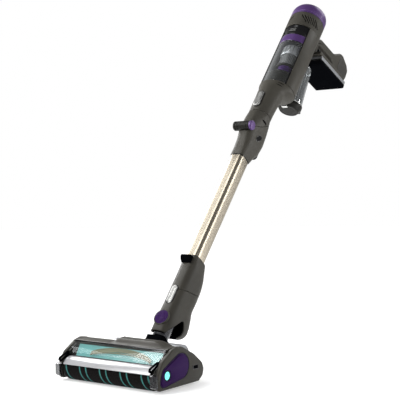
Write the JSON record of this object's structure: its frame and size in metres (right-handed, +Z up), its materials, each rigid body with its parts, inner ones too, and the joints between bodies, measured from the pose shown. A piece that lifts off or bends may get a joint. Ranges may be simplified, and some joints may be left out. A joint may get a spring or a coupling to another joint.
{
  "type": "cordless stick vacuum",
  "caption": "Upright cordless vacuum with a soft-roller floor nozzle, swivel neck, folding wand, clear cyclone, side dust cup, top motor and a grip with a slide-on battery.",
  "frame": {"origin": "on the floor, midway along the nozzle, where its front roller and rear wheels stand", "axes": "+Z up, +X towards the roller door at the nozzle's end, the nozzle faces -Y and the wand leans back to +Y"},
  "size_m": [0.2696, 1.0706, 0.9102],
  "materials": {
    "taupe_shell": "fine spark texture",
    "dark_plastic": "satin",
    "black_plastic": "satin",
    "gloss_black": "gloss",
    "purple_plastic": "satin metallic paint",
    "champagne_tube": "anodised, satin",
    "silver_trim": "plated",
    "clear_plastic": "clear",
    "frosted_bumper": "translucent",
    "strip_plastic": "gloss",
    "rib_green": "satin",
    "teal_light": "emissive",
    "steel": "turned",
    "roller_nap": "soft woven pile",
    "fin_rubber": "soft",
    "belt_rubber": "toothed",
    "hose_rubber": "ribbed",
    "motor_metal": "cast",
    "shroud_mesh": "fine mesh",
    "filter_media": "pleated"
  },
  "bodies": {
    "hand_unit": {"inlet_shell": "taupe_shell", "cyclone_window": "clear_plastic", "cyclone_base": "dark_plastic", "cyclone_shroud": "shroud_mesh", "body_cradle": "taupe_shell", "purple_band": "purple_plastic", "control_bezel": "gloss_black", "motor_housing": "taupe_shell", "suction_motor": "motor_metal", "rear_filter": "filter_media", "handle_shell": "taupe_shell"},
    "wand_release": {"wand_button": "silver_trim"},
    "impeller": {"suction_fan": "dark_plastic"},
    "cap": {"rear_cap": "purple_plastic"},
    "trigger_body": {"trigger": "black_plastic"},
    "power_body": {"power_button": "black_plastic"},
    "battery_pack": {"battery": "black_plastic", "battery_trim": "silver_trim"},
    "battery_release": {"battery_button": "dark_plastic"},
    "cup": {"dust_cup": "clear_plastic", "cup_spine": "dark_plastic"},
    "lid": {"cup_lid": "dark_plastic"},
    "lid_latch": {"cup_latch": "silver_trim"},
    "wand_upper": {"flex_upper_shell": "taupe_shell", "flex_caps": "purple_plastic", "wand_plug": "black_plastic"},
    "wand_lower": {"wand_collar": "taupe_shell", "collar_hook": "black_plastic", "wand_tube": "champagne_tube", "flex_lower_shell": "taupe_shell", "flex_pin": "steel", "flex_bellows": "hose_rubber"},
    "flex_release": {"flex_button": "dark_plastic"},
    "neck": {"neck_shell": "taupe_shell"},
    "dial": {"scent_dial": "purple_plastic"},
    "neck_release": {"neck_button": "silver_trim"},
    "neck_fork": {"neck_yoke": "black_plastic", "neck_hose": "hose_rubber"},
    "nozzle": {"nozzle_chassis": "dark_plastic", "nozzle_top_cover": "taupe_shell", "nozzle_window": "clear_plastic", "front_strip": "strip_plastic", "air_deflector": "rib_green", "sole_plate": "black_plastic", "side_plates": "taupe_shell", "status_light": "teal_light", "end_bumpers": "frosted_bumper", "front_brackets": "black_plastic", "brush_motor": "motor_metal", "drive_belt": "belt_rubber", "axles": "steel", "pivot_drums": "silver_trim", "yoke_pins": "silver_trim"},
    "door": {"roller_door": "purple_plastic"},
    "door_latch": {"roller_latch": "black_plastic"},
    "roller": {"roller_core": "dark_plastic", "roller_nap": "roller_nap"},
    "brush": {"fin_brush": "fin_rubber"},
    "wheel_l": {"wheel_left": "black_plastic"},
    "wheel_r": {"wheel_right": "black_plastic"}
  },
  "joints": [
    {"name": "wand_pull", "type": "slide", "parent": "hand_unit", "child": "wand_upper", "axis": [0, -0.6293, -0.7771], "range_m": [0, 0.12]},
    {"name": "flex_fold", "type": "hinge", "parent": "wand_upper", "child": "wand_lower", "pos_m": [0, 0.45252, 0.55733], "axis": [-1, 0, 0], "range_deg": [0, 150]},
    {"name": "flex_button_press", "type": "slide", "parent": "wand_lower", "child": "flex_release", "axis": [0, -0.7771, 0.6293], "range_m": [0, 0.0028], "stiffness_N_per_m": 400},
    {"name": "neck_pull", "type": "slide", "parent": "wand_lower", "child": "neck", "axis": [0, -0.6293, -0.7771], "range_m": [0, 0.12]},
    {"name": "dial_turn", "type": "hinge", "parent": "neck", "child": "dial", "pos_m": [0, 0.11509, 0.12157], "axis": [0, 0.7771, -0.6293], "range_deg": [0, 90]},
    {"name": "neck_button_press", "type": "slide", "parent": "neck", "child": "neck_release", "axis": [0, 0.7771, -0.6293], "range_m": [0, 0.0015], "stiffness_N_per_m": 400},
    {"name": "neck_steer", "type": "hinge", "parent": "neck", "child": "neck_fork", "pos_m": [0, 0.1608, 0.13989], "axis": [0, 0.6293, 0.7771], "range_deg": [-40, 40]},
    {"name": "nozzle_pitch", "type": "hinge", "parent": "neck_fork", "child": "nozzle", "pos_m": [0, 0.07, 0.05], "axis": [1, 0, 0], "range_deg": [-39, 36]},
    {"name": "door_pull", "type": "slide", "parent": "nozzle", "child": "door", "axis": [1, 0, 0], "range_m": [0, 0.03]},
    {"name": "roller_latch_press", "type": "slide", "parent": "nozzle", "child": "door_latch", "axis": [0, -1, 0], "range_m": [0, 0.003], "stiffness_N_per_m": 400},
    {"name": "roller_spin", "type": "hinge", "parent": "nozzle", "child": "roller", "pos_m": [0, -0.048, 0.024], "axis": [1, 0, 0], "continuous": true},
    {"name": "brush_spin", "type": "hinge", "parent": "nozzle", "child": "brush", "pos_m": [0, -0.004, 0.026], "axis": [1, 0, 0], "continuous": true},
    {"name": "wheel_left_spin", "type": "hinge", "parent": "nozzle", "child": "wheel_l", "pos_m": [-0.084, 0.066, 0.014], "axis": [1, 0, 0], "continuous": true},
    {"name": "wheel_right_spin", "type": "hinge", "parent": "nozzle", "child": "wheel_r", "pos_m": [0.084, 0.066, 0.014], "axis": [1, 0, 0], "continuous": true},
    {"name": "wand_button_press", "type": "slide", "parent": "hand_unit", "child": "wand_release", "axis": [0, 0.7771, -0.6293], "range_m": [0, 0.003], "stiffness_N_per_m": 400},
    {"name": "fan_spin", "type": "hinge", "parent": "hand_unit", "child": "impeller", "pos_m": [0, 0.76894, 0.84797], "axis": [0, 0.6293, 0.7771], "continuous": true},
    {"name": "cap_twist", "type": "hinge", "parent": "hand_unit", "child": "cap", "pos_m": [0, 0.78593, 0.86896], "axis": [0, 0.6293, 0.7771], "range_deg": [0, 40]},
    {"name": "trigger_squeeze", "type": "slide", "parent": "hand_unit", "child": "trigger_body", "axis": [0, 0.3987, 0.9171], "range_m": [0, 0.0035], "stiffness_N_per_m": 400},
    {"name": "power_press", "type": "slide", "parent": "hand_unit", "child": "power_body", "axis": [0, -0.3987, -0.9171], "range_m": [0, 0.0018], "stiffness_N_per_m": 400},
    {"name": "battery_slide", "type": "slide", "parent": "hand_unit", "child": "battery_pack", "axis": [0, 0.9171, -0.3987], "range_m": [0, 0.1]},
    {"name": "battery_button_press", "type": "slide", "parent": "battery_pack", "child": "battery_release", "axis": [0, 0.3987, 0.9171], "range_m": [0, 0.0018], "stiffness_N_per_m": 400},
    {"name": "cup_slide", "type": "slide", "parent": "hand_unit", "child": "cup", "axis": [0, -0.4848, -0.8746], "range_m": [0, 0.09]},
    {"name": "lid_open", "type": "hinge", "parent": "cup", "child": "lid", "pos_m": [0, 0.71203, 0.60641], "axis": [1, 0, 0], "range_deg": [0, 100]},
    {"name": "lid_latch_press", "type": "slide", "parent": "lid", "child": "lid_latch", "axis": [0, 0.8746, -0.4848], "range_m": [0, 0.003], "stiffness_N_per_m": 400}
  ],
  "couplings": [
    {"joint": "brush_spin", "follows": "roller_spin", "ratio": 1.3}
  ]
}
